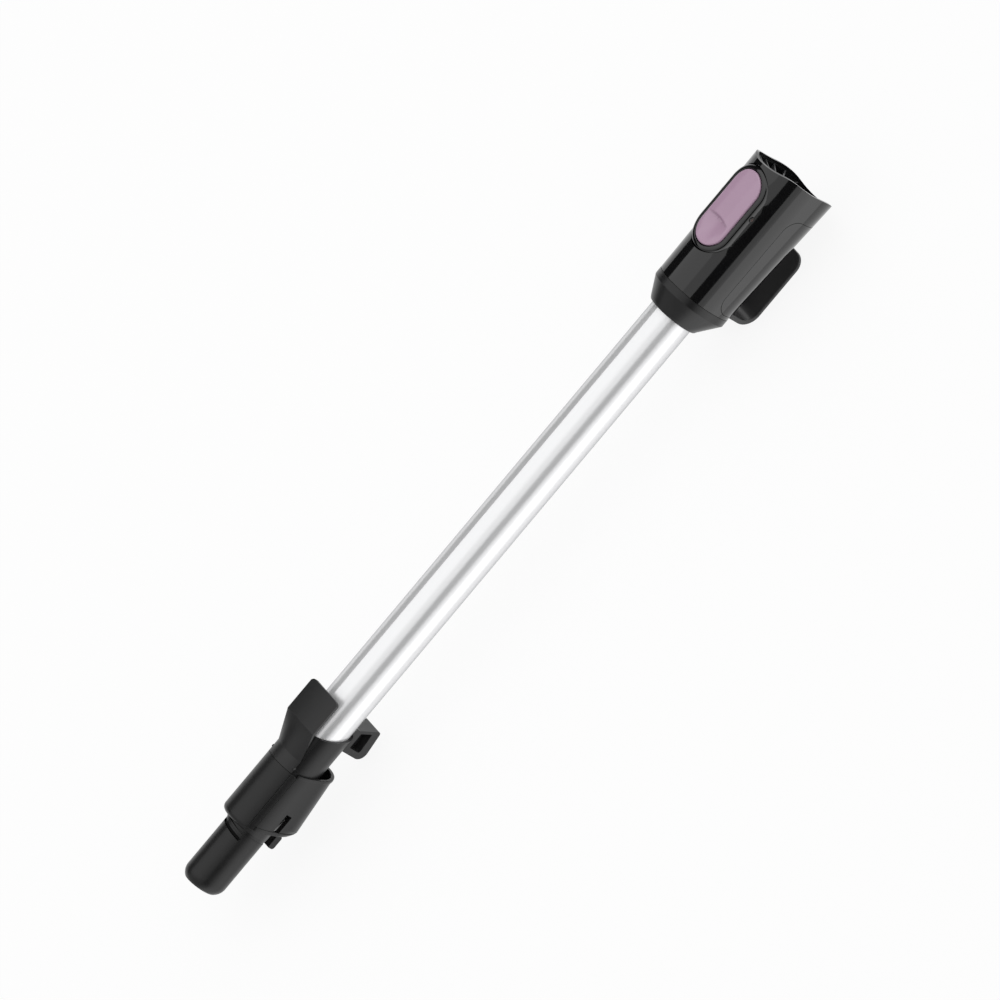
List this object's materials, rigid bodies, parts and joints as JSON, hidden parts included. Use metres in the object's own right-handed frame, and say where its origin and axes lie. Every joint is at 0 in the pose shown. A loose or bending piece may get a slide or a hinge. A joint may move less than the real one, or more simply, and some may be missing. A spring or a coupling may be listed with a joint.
{
  "type": "vacuum extension wand",
  "caption": "Straight extension wand for a stick vacuum: bare metal tube, black socket housing with a release button and hanging hook, and a black spigot end with pedal, catch and hook.",
  "frame": {"origin": "middle of the spigot, on the spigot's axis", "axes": "+X along the wand towards the socket for the machine, +Z to the front, where the button and pedal are"},
  "size_m": [0.6776, 0.06, 0.0831],
  "materials": {
    "matt_black": "fine moulded satin",
    "gloss_black": "polished",
    "mauve": "satin, dished thumb end",
    "aluminium": "bright drawn tube",
    "steel": "plain",
    "rubber": "matt"
  },
  "bodies": {
    "wand": {"lower_body": "matt_black", "front_cover": "matt_black", "rear_shell": "matt_black", "tool_hook": "matt_black", "collar": "matt_black", "hanging_hook": "matt_black", "socket_duct": "matt_black", "pedal_pins": "matt_black", "upper_shell": "gloss_black", "rear_panel": "gloss_black", "button_bezel": "gloss_black", "pedal_spring": "steel", "catch_pin": "steel", "catch_spring": "steel", "sleeve_screws": "steel", "button_pin": "steel", "button_spring": "steel", "tube": "aluminium", "socket_seal": "rubber"},
    "button": {"release_button": "mauve", "latch_arm": "matt_black"},
    "pedal": {"release_pedal": "matt_black"},
    "catch": {"catch_lever": "matt_black"}
  },
  "joints": [
    {"name": "button_rock", "type": "hinge", "parent": "wand", "child": "button", "pos_m": [0.6114, 0, 0.0259], "axis": [0, -1, 0], "range_deg": [0, 4], "stiffness_Nm_per_rad": 0.3, "springref_deg": -11.46, "deforming": ["button_spring"]},
    {"name": "pedal_press", "type": "hinge", "parent": "wand", "child": "pedal", "pos_m": [0.0885, 0, 0.0185], "axis": [0, 1, 0], "range_deg": [0, 3.5], "stiffness_Nm_per_rad": 0.5, "springref_deg": -11.46, "deforming": ["pedal_spring"]},
    {"name": "catch_rock", "type": "hinge", "parent": "wand", "child": "catch", "pos_m": [0.0662, 0, -0.0217], "axis": [0, -1, 0], "range_deg": [0, 4], "stiffness_Nm_per_rad": 0.2, "springref_deg": -11.46, "deforming": ["catch_spring"]}
  ]
}
